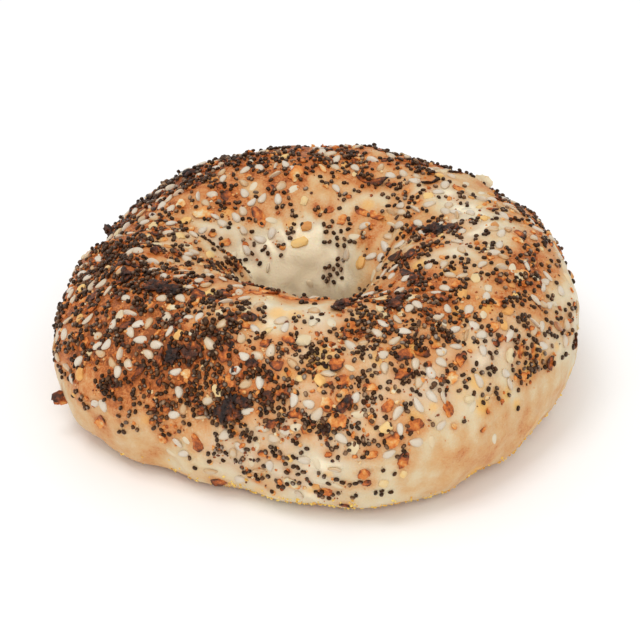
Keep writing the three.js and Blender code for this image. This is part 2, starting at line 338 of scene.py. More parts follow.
def texture(tree, kind, **values):
    """A texture node read at the piece's own coordinates, in metres."""
    node = tree.nodes.new(kind)
    places = tree.nodes.get("own_places") or tree.nodes.new("ShaderNodeTexCoord")
    places.name = "own_places"
    tree.links.new(places.outputs["Object"], node.inputs["Vector"])
    set_inputs(node, **values)
    return node.outputs[0]


def noise(tree, scale, detail, roughness):
    return texture(tree, "ShaderNodeTexNoise", scale=scale, detail=detail, roughness=roughness)


def number(tree, operation, *terms, clamp=False):
    node = tree.nodes.new("ShaderNodeMath")
    node.operation = operation
    node.use_clamp = clamp
    for socket, term in zip(node.inputs, terms):
        if isinstance(term, (int, float)):
            socket.default_value = term
        else:
            tree.links.new(term, socket)
    return node.outputs[0]


def scaled(tree, value, times, plus, clamp=False):
    return number(tree, "MULTIPLY_ADD", value, times, plus, clamp=clamp)


def stored(tree, name):
    node = tree.nodes.new("ShaderNodeAttribute")
    node.attribute_name = name
    return node.outputs["Fac"]


def shades(tree, factor, stops):
    """A colour that runs through stops, each a share and a display colour."""
    node = tree.nodes.new("ShaderNodeValToRGB")
    elements = node.color_ramp.elements
    while len(elements) < len(stops):
        elements.new(0.5)
    for element, (share, *colour) in zip(elements, stops):
        element.position = share
        element.color = paint(*colour)
    tree.links.new(factor, node.inputs["Fac"])
    return node.outputs["Color"]


def coloured(tree, shader, factor, stops):
    tree.links.new(shades(tree, factor, stops), shader.inputs["Base Color"])


def blended(tree, factor, first, second, kind="MIX"):
    node = tree.nodes.new("ShaderNodeMix")
    node.data_type = "RGBA"
    node.blend_type = kind
    for name, term in (("Factor", factor), ("A", first), ("B", second)):
        socket = next(s for s in node.inputs if s.name == name and (name == "Factor" or s.type == "RGBA"))
        if isinstance(term, (int, float, list)):
            socket.default_value = term
        else:
            tree.links.new(term, socket)
    return next(s for s in node.outputs if s.type == "RGBA")


def raised(tree, shader, height, depth_mm, strength=1.0):
    node = tree.nodes.new("ShaderNodeBump")
    set_inputs(node, strength=strength, distance=depth_mm * MM)
    tree.links.new(height, node.inputs["Height"])
    tree.links.new(node.outputs["Normal"], shader.inputs["Normal"])


def lit_within(shader, weight, radius, scale):
    """Light passes a little way into the piece, red the furthest."""
    set_inputs(shader, subsurface_weight=weight, subsurface_radius=radius, subsurface_scale=scale)


# The palest shade is set high partly as painted light, which lifts the crust in the hole's shade.
CRUST_SHADES = [
    (0, 247, 233, 201), (0.14, 218, 203, 173), (0.27, 216, 194, 155), (0.38, 212, 175, 127),
    (0.5, 208, 157, 102), (0.62, 200, 133, 77), (0.74, 180, 104, 51), (0.86, 141, 74, 33), (1, 86, 44, 20),
]
crust_finish, tree, shader = new_finish("baked_crust", 0.5, 0.28)
patchy = noise(tree, 170, 5, 0.62)
mottled = noise(tree, 900, 4, 0.7)
grainy = noise(tree, 2600, 2, 0.6)
freckles = noise(tree, 1500, 3, 0.6)
# The browning, with the painted light and shade in the hole.
browned_and_painted_light = stored(tree, "browning_and_painted_light")
stain = stored(tree, "stain")
uneven = scaled(tree, patchy, 0.34, -0.17)
liveliness = scaled(tree, stain, 1.75, 0.38)
speckled = scaled(tree, browned_and_painted_light, 1.3, 0.02)
speckled = number(tree, "MULTIPLY", number(tree, "SUBTRACT", mottled, 0.5), speckled)
dotted = number(tree, "MULTIPLY", number(tree, "SUBTRACT", grainy, 0.5), browned_and_painted_light)
freckled = number(tree, "MAXIMUM", number(tree, "SUBTRACT", freckles, 0.54), 0.0)
freckled = number(tree, "MULTIPLY", freckled, scaled(tree, browned_and_painted_light, 5.0, -1.8))
mottling = number(tree, "ADD", number(tree, "ADD", uneven, speckled), dotted)
together = scaled(tree, mottling, number(tree, "MINIMUM", liveliness, 1.3), browned_and_painted_light)
together = number(tree, "ADD", together, number(tree, "MAXIMUM", freckled, 0.0))
together = scaled(tree, stain, 0.34, together, clamp=True)
baked = shades(tree, together, CRUST_SHADES)
stained = blended(tree, number(tree, "MULTIPLY", stain, 0.46, clamp=True), baked, paint(200, 108, 42))
under_skin = blended(tree, stored(tree, "yellowing"), stained, paint(232, 178, 92))
tree.links.new(under_skin, shader.inputs["Base Color"])
skin = scaled(tree, mottled, 0.6, number(tree, "MULTIPLY", grainy, 0.4))
raised(tree, shader, skin, 0.35, 0.7)
tree.links.new(scaled(tree, mottled, 0.3, 0.34), shader.inputs["Roughness"])
lit_within(shader, 0.12, (1.0, 0.5, 0.25), 0.0015)
dress(dough, crust_finish)
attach(dough, "root")
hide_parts("bagel")

# The onion. Dried onion was shaken over the wet ring with the seeds: thin torn flakes, curled, golden to
# red-brown, with dark edges. Where the oven caught them they are burnt lumps. Each stains the crust.
THICK_PLACES = [
    (184, 66, 20, 20, 52), (160, 96, 10, 14, 22), (218, 83, 20, 12, 62), (243, 40, 16, 18, 60),
    (121, 54, 14, 14, 22), (145, 44, 14, 16, 34), (82, 78, 20, 12, 26), (100, 94, 12, 9, 32),
    (298, 90, 16, 13, 28), (294, 70, 16, 9, 40), (262, 32, 12, 12, 32), (322, 28, 14, 12, 14),
    (332, 114, 18, 8, 8), (6, 118, 10, 9, 28), (172, 138, 12, 16, 18), (228, 62, 14, 10, 20),
    (20, 50, 9, 10, 16), (180, 48, 9, 9, 20), (218, 70, 10, 8, 14), (340, 66, 9, 12, 18),
    (40, 132, 9, 9, 23), (342, 140, 10, 10, 30), (220, 91, 8, 7, 22), (60, 90, 9, 9, 10),
    (218, 72, 9, 8, 14), (180, 50, 9, 8, 14), (0, 108, 8, 8, 12), (200, 108, 8, 8, 10),
    (240, 112, 8, 6, 10), (160, 150, 9, 9, 16), (300, 108, 9, 7, 14), (220, 70, 8, 7, 14),
]
THIN_PLACES = [
    (30, 76, 14, 18, 20), (264, 96, 12, 18, 20), (100, 128, 44, 16, 20), (224, 113, 26, 9, 30),
    (2, 30, 12, 22, 28), (40, 50, 10, 10, 8), (148, 96, 12, 9, 12), (304, 12, 15, 20, 28),
    (340, -6, 40, 14, 16), (275, -10, 20, 16, 10), (158, 50, 8, 14, 34), (322, 134, 22, 9, 20),
    (12, 134, 14, 9, 26), (145, 172, 16, 9, 20), (268, 108, 11, 12, 20), (352, 96, 14, 12, 14),
    (203, 54, 9, 10, 24), (300, 132, 12, 8, 34), (122, 48, 12, 9, 10), (342, 30, 9, 9, 14),
    (100, 70, 9, 9, 26), (260, 51, 8, 8, 14), (0, 72, 8, 8, 14), (192, 90, 16, 7, 30), (240, 91, 9, 8, 32),
    (22, 112, 9, 9, 16), (60, 122, 9, 12, 16), (160, 90, 9, 8, 18), (0, 130, 9, 8, 16),
    (202, 108, 9, 9, 16), (298, 124, 16, 9, 24), (198, 51, 9, 9, 20), (42, 50, 8, 8, 12),
    (182, 72, 9, 7, 14), (100, 72, 9, 8, 12), (240, 70, 9, 9, 18), (200, 72, 9, 9, 17), (200, 90, 8, 7, 12),
    (320, 70, 9, 9, 14), (260, 70, 9, 9, 12), (340, 90, 9, 9, 10), (240, 32, 8, 8, 16), (80, 70, 9, 8, 16),
    (42, 70, 8, 8, 14), (240, 50, 8, 7, 16), (300, 92, 9, 9, 10), (162, 110, 9, 8, 12),
    (180, 118, 9, 12, 10), (80, 110, 9, 8, 10), (320, 28, 8, 9, 12), (300, 130, 10, 7, 20),
    (160, 62, 8, 12, 16),
]
USUAL_COVER = 0.27
LEAST_COVER = 0.03
LOW_EDGE = dict(tube=0, softness=28, dip=40, ring=263, spread=20)
HOLE_EDGE = dict(tube=158, softness=30)
PATCHES = [(ripples(9, 71), 0.38), (ripples(4.5, 72), 0.38)]


def cover(ring, tube):
    """The share of scattered toppings that stayed at a place, from 0 to 1: clumps, gaps and edges."""
    share = USUAL_COVER + near_places(ring, tube, THICK_PLACES) - near_places(ring, tube, THIN_PLACES)
    points = crust(ring, tube)
    share = np.clip(share, LEAST_COVER, 1) * (1 + sum(height * field(points) for field, height in PATCHES))
    low_edge = LOW_EDGE["tube"] - LOW_EDGE["dip"] * bell(turn(ring - LOW_EDGE["ring"]) / LOW_EDGE["spread"])
    above_low_edge = ease((tube - low_edge) / LOW_EDGE["softness"])
    before_hole_edge = ease((HOLE_EDGE["tube"] - tube) / HOLE_EDGE["softness"])
    return np.clip(share, LEAST_COVER, 1) * above_low_edge * before_hole_edge


CELL = 5.0
DRAWN_AT_ONCE = 4000
LOWEST = 0.02
laid_bits, laid_sesame, laid_poppy = {}, {}, {}


def cell_of(point):
    return tuple(int(math.floor(c / CELL)) for c in point)


def is_free(point, reach, registers):
    """Whether a topping of that reach clears those already laid in some registers."""
    a, b, c = cell_of(point)
    for i, j, k in itertools.product((-1, 0, 1), repeat=3):
        for register in registers:
            for x, y, z, other in register.get((a + i, b + j, c + k), ()):
                gap = reach + other
                if (x - point[0]) ** 2 + (y - point[1]) ** 2 + (z - point[2]) ** 2 < gap * gap:
                    return False
    return True


def claim(register, point, reach):
    register.setdefault(cell_of(point), []).append((point[0], point[1], point[2], reach))


def reserve(register, rows, room):
    """Claim the crust under shapes given in a table, whose rows start with ring, tube and length."""
    for ring, tube, length, *_ in rows:
        claim(register, crust(ring, tube), room * length)


def scatter(count, reach, draws, own, others=(), share_at=cover, tubes=(-45, 178), power=1):
    """Places for one kind of topping, drawn evenly over the crust and kept by the share and the gaps.

    A power under 1 evens the share out, and one over 1 makes clumps of it.
    """
    found = []
    while len(found) < count:
        rings, turns = draws.uniform(0, 360, DRAWN_AT_ONCE), draws.uniform(*tubes, DRAWN_AT_ONCE)
        points = crust(rings, turns)
        wide = np.hypot(points[:, 0], points[:, 1]) / (RING_RADIUS + ROPE_HALF_WIDTH)
        keep = draws.uniform(size=DRAWN_AT_ONCE) < share_at(rings, turns) ** power * wide
        for ring, tube, point in zip(rings[keep], turns[keep], points[keep]):
            if len(found) < count and is_free(point, reach, (own, *others)):
                claim(own, point, reach)
                found.append((ring, tube))
    return np.array(found)


def turning(angles, axis):
    """A matrix for each angle that turns about the x, y or z axis: 0, 1 or 2."""
    made = np.zeros((len(angles), 3, 3))
    first, second = (axis + 1) % 3, (axis + 2) % 3
    made[:, axis, axis] = 1
    made[:, first, first] = made[:, second, second] = np.cos(angles)
    made[:, first, second], made[:, second, first] = -np.sin(angles), np.sin(angles)
    return made


def joined(name, shapes, faces, places, lift, spin, lean, tone, smooth=True):
    """Many loose shapes as one piece, each turned by spin, tipped by lean and raised by lift."""
    points, frames = crust_frames(places[:, 0], places[:, 1])
    turned = frames @ turning(spin, 2) @ turning(lean, 0)
    centres = points + frames[:, :, 2] * np.broadcast_to(lift, len(places))[:, None]
    corners = centres[:, None] + np.einsum("nij,nvj->nvi", turned, shapes)
    corners[..., 2] = np.maximum(corners[..., 2], LOWEST)
    count, per_shape = shapes.shape[:2]
    all_faces = faces[None] + (np.arange(count) * per_shape)[:, None, None]
    piece = mesh_piece(name, corners.reshape(-1, 3), all_faces.reshape(-1, faces.shape[1]), smooth)
    attribute(piece, "tone", np.repeat(tone, per_shape))
    return piece


def ball(subdivisions):
    """The corners and triangles of a ball half a unit in radius."""
    made = bmesh.new()
    bmesh.ops.create_icosphere(made, subdivisions=subdivisions, radius=0.5)
    corners = np.array([v.co for v in made.verts])
    faces = np.array([[v.index for v in f.verts] for f in made.faces])
    made.free()
    return corners, faces


FLAKE_AROUND = 18
FLAKE_ANGLES = np.arange(FLAKE_AROUND) * math.tau / FLAKE_AROUND
FLAKE_RINGS = (0.4, 0.78, 1.0)
RING_CHAR = (0.1, 0.5, 1.0)


def flake_faces():
    """Triangles of a thin plate: a fan and two bands on each side, and a band round the rim."""
    n, rings = FLAKE_AROUND, len(FLAKE_RINGS)
    side = 1 + n * rings

    def corner(base, ring, step):
        return base + 1 + ring * n + step

    made = []
    for k in range(n):
        after = (k + 1) % n
        for base, flip in ((0, False), (side, True)):
            found = [(base, corner(base, 0, k), corner(base, 0, after))]
            for ring in range(rings - 1):
                inner, outer = corner(base, ring, k), corner(base, ring + 1, after)
                found.append((inner, corner(base, ring + 1, k), outer))
                found.append((inner, outer, corner(base, ring, after)))
            made += [face[::-1] if flip else face for face in found]
        top, bottom = corner(0, rings - 1, 0), corner(side, rings - 1, 0)
        made.append((top + k, bottom + k, bottom + after))
        made.append((top + k, bottom + after, top + after))
    return np.array(made)


def flake_shapes(sizes, draws):
    """Torn plates, one for each row of sizes: squarish or round outlines, ragged, curled and rippled."""
    count = len(sizes)
    square = draws.uniform(1.4, 3.0, (count, 1))
    turned = FLAKE_ANGLES + draws.uniform(-0.3, 0.3, (count, 1))
    outline = 0.5 / (np.abs(np.cos(turned)) ** square + np.abs(np.sin(turned)) ** square) ** (1 / square)
    torn = draws.normal(0, 0.17, (count, FLAKE_AROUND))
    outline = outline * (1 + (torn + np.roll(torn, 1, 1) + np.roll(torn, -1, 1)) / 1.75)
    longer = draws.uniform(0, 0.25, (count, 1))
    outline = outline * (1 + longer * np.cos(FLAKE_ANGLES - draws.uniform(0, 6.28, (count, 1))))
    curl = draws.uniform(-0.2, 0.5, (count, 1))
    bend = draws.uniform(-0.3, 0.35, (count, 1))
    twist = draws.uniform(-0.4, 0.4, (count, 1))
    sides = []
    for side in (0.5, -0.5):
        flat = [np.zeros((count, 1, 2))]
        thick = [np.full((count, 1), side)]
        for ring in FLAKE_RINGS:
            wobble = 1 + draws.normal(0, 0.04, outline.shape)
            rim = np.stack([np.cos(FLAKE_ANGLES) * outline, np.sin(FLAKE_ANGLES) * outline], -1)
            flat.append(rim * ring * wobble[..., None])
            thick.append(side * (1 - 0.35 * ring ** 3) + draws.normal(0, 0.1, outline.shape))
        flat, thick = np.concatenate(flat, 1), np.concatenate(thick, 1)
        x, y = flat[..., 0], flat[..., 1]
        height = thick * sizes[:, 2:3]
        height = height + (curl * x * x + bend * y * y + twist * x * y) * sizes[:, 0:1]
        sides.append(np.stack([x * sizes[:, 0:1], y * sizes[:, 1:2], height], -1))
    return np.concatenate(sides, 1)


# The flakes that stand out most: ring, tube, length, width, spin and tone. The tone is in hundredths,
# from 0, pale gold, over 45, orange-brown, to 100, burnt black.
SINGLE_FLAKES = [
    (346, 6, 3, 2.1, 90, 46), (66, 105, 5.6, 2.4, 5, 70), (125, 123, 3.8, 2.3, 80, 44),
    (274, 27, 3.6, 3.2, 30, 34), (285, 18, 3.8, 2.8, 50, 42), (290, 24, 3.6, 2.4, 20, 48),
    (298, 27, 3.8, 2.8, 80, 42), (287, 4, 3.2, 2.4, 90, 50), (279, -2, 2.8, 2.4, 40, 38),
    (218, -8, 3.6, 2.2, 60, 34), (246, -33, 3.4, 2.4, 0, 54), (62, 127, 3.6, 2, 0, 42),
    (51, 126, 4, 2, 0, 40), (82, 131, 2.6, 2, 30, 50), (73, 136, 3, 2, 70, 30), (131, 99, 3.8, 2.4, 20, 64),
    (154, 100, 2.8, 2, 0, 36), (144, 82, 3.2, 2.4, 30, 10), (220, 84, 2.8, 2.2, 0, 82),
    (227, 88, 2.8, 2, 20, 68), (234, 90, 3, 2, 30, 80), (244, 76, 3.2, 2.4, 60, 72),
    (249, 81, 2.8, 2.2, 10, 76), (237, 48, 4.4, 3, 20, 62), (246, 51, 4, 2.6, 0, 56),
    (226, 31, 3, 2.4, 40, 64), (222, 22, 3, 2.6, 80, 76), (238, 36, 2.8, 2, 10, 20),
    (250, 18, 3, 2.4, 60, 66), (216, 53, 3.2, 2.4, 30, 62), (196, 52, 3, 2.2, 50, 66),
    (190, 74, 3.2, 2.2, 10, 72), (205, 64, 3, 2.4, 0, 70), (44, 88, 3, 1.5, 60, 92),
    (35, 81, 2.8, 2, 20, 26), (358, 134, 3.4, 2.8, 40, 70), (346, 125, 4.2, 3.2, 20, 76),
    (322, 117, 4, 2.8, 60, 80), (306, 94, 3.4, 1.8, 10, 8), (6, 104, 4, 2.6, 20, 80),
    (314, 84, 3.4, 2.2, 20, 62), (322, 86, 2.4, 1.8, 0, 34), (359, 70, 2.8, 2.2, 30, 58),
    (292, 61, 4.2, 2.4, 20, 60), (301, 42, 2.4, 2, 0, 22), (322, 34, 2.8, 2.4, 30, 50),
    (330, 16, 2.8, 2.2, 60, 70), (318, 53, 2.8, 2.2, 0, 38), (247, 115, 4.4, 1.8, 0, 44),
    (257, 116, 4.6, 1.8, 5, 40), (266, 116, 4.2, 1.8, 0, 46), (242, 112, 2.8, 2.4, 0, 42),
    (278, 98, 3.6, 2.4, 20, 76), (283, 107, 3.6, 2.2, 0, 72), (296, 104, 4.2, 1.8, 10, 8),
    (262, 70, 2.4, 1.6, 0, 46), (275, 58, 3.6, 2.8, 30, 60), (276, 50, 3.2, 2.4, 60, 46),
    (290, 51, 4, 2.2, 10, 56), (282, 46, 2.4, 2, 0, 34), (276, 36, 3.2, 2.6, 60, 72),
    (285, 35, 2.4, 2, 50, 38), (281, 10, 3, 1.9, 20, 42), (272, -20, 3, 2.2, 0, 44),
    (276, -34, 2.4, 1.9, 0, 48), (258, 0, 2.2, 1.8, 0, 38), (280, -9, 2.4, 1.9, 60, 56),
    (265, 28, 2.8, 2, 0, 62), (260, 20, 2.6, 2.2, 40, 68), (260, 53, 2.8, 2.4, 0, 68),
    (256, 65, 2.6, 2, 30, 64), (223, 73, 3, 1.9, 10, 6),
]
SINGLE_THICKNESS = 0.45
# A few flakes stand on edge: ring, tube, length, width, thickness, spin, tone and lift.
STANDING_FLAKES = [
    (203, -10, 3.2, 4.2, 2.2, 70, 56, 0.9), (42, 49, 4.6, 3, 0.4, 5, -30, 0.25),
    (148, 25, 2.8, 3, 0.8, 80, 80, 0.8), (158, 22, 2.6, 2.4, 0.7, 60, 90, 0.4),
]
STANDING_LEAN = 1.15
BARE_BELOW_TONE = 70
BIT_ROOM, BARE_ROOM = 0.35, 0.22
laid_bare = {}
FLAKE_COUNT = 310
FLAKE_ROOM, FLAKE_LIFT = 1.0, 0.14
onion_draws = np.random.default_rng(301)
single = np.array(SINGLE_FLAKES)
standing = np.array(STANDING_FLAKES)
reserve(laid_bits, SINGLE_FLAKES, BIT_ROOM)
reserve(laid_bare, [row for row in SINGLE_FLAKES if row[-1] < BARE_BELOW_TONE], BARE_ROOM)
more_flakes = scatter(FLAKE_COUNT, FLAKE_ROOM, onion_draws, laid_bits, power=0.7)
flake_places = np.concatenate([single[:, :2], more_flakes, standing[:, :2]])
longer = onion_draws.gamma(4, 0.47, FLAKE_COUNT).clip(1.0, 4.0)
narrower = onion_draws.uniform(0.5, 0.85, FLAKE_COUNT)
more_sizes = np.stack([longer, longer * narrower, onion_draws.uniform(0.35, 0.6, FLAKE_COUNT)], -1)
single_sizes = np.column_stack([single[:, 2:4], np.full(len(single), SINGLE_THICKNESS)])
flake_sizes = np.concatenate([single_sizes, more_sizes, standing[:, 2:5]])
flake_heat = 0.32 + 0.32 * cover(more_flakes[:, 0], more_flakes[:, 1])
more_tones = np.clip(flake_heat + 0.16 * onion_draws.normal(size=FLAKE_COUNT), 0.04, 0.95)
flake_tones = np.concatenate([single[:, 5] / 100, more_tones, standing[:, 6] / 100])
more_spins = onion_draws.uniform(0, math.tau, FLAKE_COUNT)
flake_spins = np.concatenate([single[:, 4] * RAD, more_spins, standing[:, 5] * RAD])
lying_leans = onion_draws.normal(0, 0.16, len(single) + FLAKE_COUNT)
flake_leans = np.concatenate([lying_leans, np.full(len(standing), STANDING_LEAN)])
flake_lifts = np.concatenate([flake_sizes[:-len(standing), 2] * FLAKE_LIFT, standing[:, 7]])
flakes = joined(
    "onion_flakes", flake_shapes(flake_sizes, onion_draws), flake_faces(), flake_places,
    flake_lifts, flake_spins, flake_leans, flake_tones,
)
flakes.data.set_sharp_from_angle(angle=math.radians(50))
# The rims of the flakes are charred, each more on one side than on the other.
all_flakes = len(flake_places)
charred = np.random.default_rng(311).uniform(0, math.tau, (all_flakes, 1, 1, 1))
charred = 0.75 + 0.75 * np.cos(FLAKE_ANGLES - charred)
edge_share = np.array(RING_CHAR).reshape(1, 1, -1, 1) * charred * np.ones((1, 2, 1, 1))
edge_share = np.concatenate([np.zeros((all_flakes, 2, 1)), edge_share.reshape(all_flakes, 2, -1)], -1)
attribute(flakes, "edge", edge_share)

ONION_SHADES = [
    (0, 224, 210, 176), (0.16, 224, 184, 126), (0.34, 222, 146, 70), (0.5, 200, 106, 38),
    (0.64, 150, 73, 27), (0.8, 84, 42, 19), (1, 32, 17, 10),
]


def own_tone(tree, pattern, swing, clamp=False):
    """The tone stored on each shape, which a pattern swings up and down."""
    lowered = number(tree, "SUBTRACT", stored(tree, "tone"), swing / 2)
    return scaled(tree, pattern, swing, lowered, clamp=clamp)


onion_finish, tree, shader = new_finish("dried_onion", 0.46, 0.32)
streaks = noise(tree, 620, 4, 0.6)
fine = noise(tree, 2400, 3, 0.6)
tone = own_tone(tree, streaks, 1.35)
tone = scaled(tree, stored(tree, "edge"), 0.22, tone, clamp=True)
coloured(tree, shader, tone, ONION_SHADES)
roughened = scaled(tree, streaks, 0.7, number(tree, "MULTIPLY", fine, 0.5))
raised(tree, shader, roughened, 0.4, 0.8)
dress(flakes, onion_finish)
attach(flakes, "root")

# The burnt onion. Where several flakes lay in a heap, the oven baked them into black, brittle knobs that
# sit fast on the crust. Each row is a part of a knob: its ring, tube, length, width and spin.
BURNT_LUMPS = [
    (214, 80, 6.6, 2.8, 8), (210, 78, 4, 2.6, 40), (233, 45, 3.8, 3, 40), (237, 47, 3.4, 2.4, 0),
    (230, 42, 3, 2.2, 80), (250, 25, 4.2, 3.2, 80), (253, 29, 2.8, 2.2, 20), (248, 20, 3.4, 2.6, 50),
    (252, 21, 2.6, 2, 10), (219, 82, 3.4, 2.4, 30), (254, 50, 2.4, 1.6, 10), (8, 113, 3.8, 2.8, 60),
    (4, 110, 3, 2.2, 0), (298, 94, 4, 2.2, 0), (302, 97, 3, 1.8, 40), (280, 101, 3.2, 1.8, 10),
    (196, 72, 2.6, 1.8, 20), (128, 58, 3.2, 2.2, 10), (186, 90, 2.6, 1.8, 30), (276, 38, 2.4, 1.8, 60),
    (318, 108, 2.6, 1.8, 10),
]
LUMP_ROOM, LUMP_BARE_ROOM, LUMP_LIFT, LUMP_ROUGHNESS = 0.3, 0.26, 0.45, 0.22
lump_draws = np.random.default_rng(302)
burnt = np.array(BURNT_LUMPS, float)
lump_ball, lump_faces = ball(4)
lump_shapes = lump_ball[None] * np.stack([burnt[:, 2], burnt[:, 3], 0.4 * burnt[:, 3] + 0.5], -1)[:, None]
lump_rough = ripples(1.7, 61)(lump_shapes + lump_draws.uniform(0, 90, (len(burnt), 1, 3)))
lump_rough = lump_rough + 0.7 * ripples(0.8, 62)(lump_shapes) + 0.35 * ripples(0.45, 63)(lump_shapes)
lump_shapes = lump_shapes * (1 + LUMP_ROUGHNESS * lump_rough[..., None])
lumps = joined(
    "burnt_onion", lump_shapes, lump_faces, burnt[:, :2], LUMP_LIFT, burnt[:, 4] * RAD,
    np.zeros(len(burnt)), lump_draws.uniform(0.7, 1.0, len(burnt)),
)
attribute(lumps, "edge", np.zeros(len(lumps.data.vertices)))
dress(lumps, onion_finish)
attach(lumps, "root")
reserve(laid_bits, BURNT_LUMPS, LUMP_ROOM)
reserve(laid_bare, BURNT_LUMPS, LUMP_BARE_ROOM)

# The garlic. It is crushed dried garlic: chunky flat-sided granules, cream to gold where they stayed pale
# and orange where they toasted, some of them half sunk into the skin, where they show as yellow spots.
# The rows are ring, tube, length, width, thickness, spin, and tone in hundredths.
SINGLE_GARLIC = [
    (107, 149, 4.2, 2.2, 1, 0, 44), (266, 72, 3.4, 2.9, 1.5, 0, 16), (42, 153, 2.6, 3.2, 1.4, 30, 55),
    (318, 36, 3.2, 2.2, 1.2, 60, 20), (169, 38, 3.4, 2.6, 1.4, 10, 12), (284, 24, 2.8, 2.2, 1.2, 30, 40),
]
GARLIC_COUNT = 110
GARLIC_ROOM, GARLIC_LIFT = 1.0, 0.1
GARLIC_SHADES = [
    (0, 212, 198, 172), (0.3, 218, 192, 142), (0.46, 232, 190, 116), (0.64, 214, 154, 84),
    (0.85, 188, 110, 54), (1, 120, 64, 34),
]
garlic_draws = np.random.default_rng(303)
single = np.array(SINGLE_GARLIC)
reserve(laid_bits, SINGLE_GARLIC, BIT_ROOM)
more_garlic = scatter(GARLIC_COUNT, GARLIC_ROOM, garlic_draws, laid_bits, power=0.6)
garlic_places = np.concatenate([single[:, :2], more_garlic])
grown = garlic_draws.uniform(1.3, 3.0, GARLIC_COUNT)
narrower = garlic_draws.uniform(0.65, 0.9, GARLIC_COUNT)
more_sizes = np.stack([grown, grown * narrower, grown * garlic_draws.uniform(0.3, 0.5, GARLIC_COUNT)], -1)
garlic_sizes = np.concatenate([single[:, 2:5], more_sizes])
garlic_ball, garlic_faces = ball(2)
chipped = garlic_ball[None] * (1 + garlic_draws.normal(0, 0.12, (len(garlic_sizes), len(garlic_ball), 1)))
chipped = np.clip(chipped, -0.45, 0.45) * 1.08
garlic = joined(
    "garlic_bits", chipped * garlic_sizes[:, None], garlic_faces, garlic_places,
    garlic_sizes[:, 2] * GARLIC_LIFT,
    np.concatenate([single[:, 5] * RAD, garlic_draws.uniform(0, math.tau, GARLIC_COUNT)]),
    garlic_draws.normal(0, 0.2, len(garlic_sizes)),
    np.concatenate([single[:, 6] / 100, garlic_draws.uniform(0, 0.75, GARLIC_COUNT)]),
)
garlic.data.set_sharp_from_angle(angle=math.radians(32))
garlic_finish, tree, shader = new_finish("dried_garlic", 0.5, 0.35)
cloudy = noise(tree, 900, 3, 0.6)
tone = own_tone(tree, cloudy, 0.3, clamp=True)
coloured(tree, shader, tone, GARLIC_SHADES)
raised(tree, shader, cloudy, 0.3, 0.6)
dress(garlic, garlic_finish)
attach(garlic, "root")

# The sesame. Hulled sesame seeds are flat cream drops, pointed at one end, which stuck to the wet dough.
# Most lie flat, a few stand on edge, and the oven toasted those on the browner places.
SESAME_COUNT = 390
SESAME_SIZE = (2.85, 1.75, 0.78)
SESAME_ALONG, SESAME_AROUND = 9, 12
SESAME_ROOM, SESAME_LIFT = 1.05, 0.14
ON_EDGE_SHARE, ON_EDGE_LEAN = 0.08, 1.25
SESAME_SHADES = [
    (0, 211, 199, 181), (0.35, 204, 185, 159), (0.6, 200, 167, 124), (0.85, 187, 136, 85), (1, 160, 98, 56),
]
sesame_draws = np.random.default_rng(304)


def sesame_form():
    """A drop half a unit round: corners in rings from the blunt end to the point, and triangles."""
    corners = [(-0.5, 0.0, 0.0)]
    for step in range(1, SESAME_ALONG):
        x = -math.cos(math.pi * step / SESAME_ALONG)
        wide = math.sqrt(1 - x * x) * (1 - 0.22 * x)
        flat = math.sqrt(1 - x * x) ** 0.8 * (1 - 0.12 * x)
        for k in range(SESAME_AROUND):
            a = math.tau * k / SESAME_AROUND
            corners.append((0.5 * x, 0.5 * wide * math.cos(a), 0.5 * flat * math.sin(a)))
    corners.append((0.5, 0.0, 0.0))
    faces = []
    last = len(corners) - 1
    for k in range(SESAME_AROUND):
        after = (k + 1) % SESAME_AROUND
        faces.append((0, 1 + after, 1 + k))
        for step in range(SESAME_ALONG - 2):
            a, b = 1 + step * SESAME_AROUND, 1 + (step + 1) * SESAME_AROUND
            faces += [(a + k, a + after, b + after), (a + k, b + after, b + k)]
        a = 1 + (SESAME_ALONG - 2) * SESAME_AROUND
        faces.append((a + k, a + after, last))
    return np.array(corners), np.array(faces)


MORE_SESAME = [(125, 97, 14, 12, 100), (60, 88, 14, 12, 60), (12, 84, 14, 14, 80), (243, 62, 14, 14, 50)]


def sesame_cover(ring, tube):
    return 0.6 * cover(ring, tube) ** 0.6 * (1 + near_places(ring, tube, MORE_SESAME))


def sesame_seeds(name, count, lift, tones, share_at):
    places = scatter(count, SESAME_ROOM, sesame_draws, laid_sesame, (laid_bits,), share_at)
    form, faces = sesame_form()
    sizes = np.array(SESAME_SIZE) * sesame_draws.normal(1, 0.08, (count, 3))
    bent = sesame_draws.normal(0, 0.1, (count, 1))
    shapes = form[None] * sizes[:, None]
    shapes[..., 2] += bent * shapes[..., 0] ** 2 * 0.4
    shapes[..., 1] += sesame_draws.normal(0, 0.05, (count, 1)) * shapes[..., 0] ** 2
    on_edge = sesame_draws.uniform(size=count) < ON_EDGE_SHARE
    lean = np.where(on_edge, ON_EDGE_LEAN, sesame_draws.normal(0, 0.18, count))
    spin = sesame_draws.uniform(0, math.tau, count)
    piece = joined(name, shapes, faces, places, lift, spin, lean, tones)
    # A band just inside each seed's outline is painted darker: partly the seed's thin edge and partly
    # painted shade of its rounded rim.
    from_middle = np.hypot(2 * form[:, 0], 2 * form[:, 1])
    attribute(piece, "rim", np.tile(bell((from_middle - 0.84) / 0.12), count))
    return piece


toasted = sesame_draws.beta(1.2, 3.8, SESAME_COUNT)
sesame = sesame_seeds("sesame_seeds", SESAME_COUNT, SESAME_LIFT, toasted, sesame_cover)
sesame_finish, tree, shader = new_finish("hulled_sesame", 0.34, 0.5)
veined = noise(tree, 1500, 3, 0.55)
tone = scaled(tree, veined, 0.24, number(tree, "SUBTRACT", stored(tree, "tone"), 0.16))
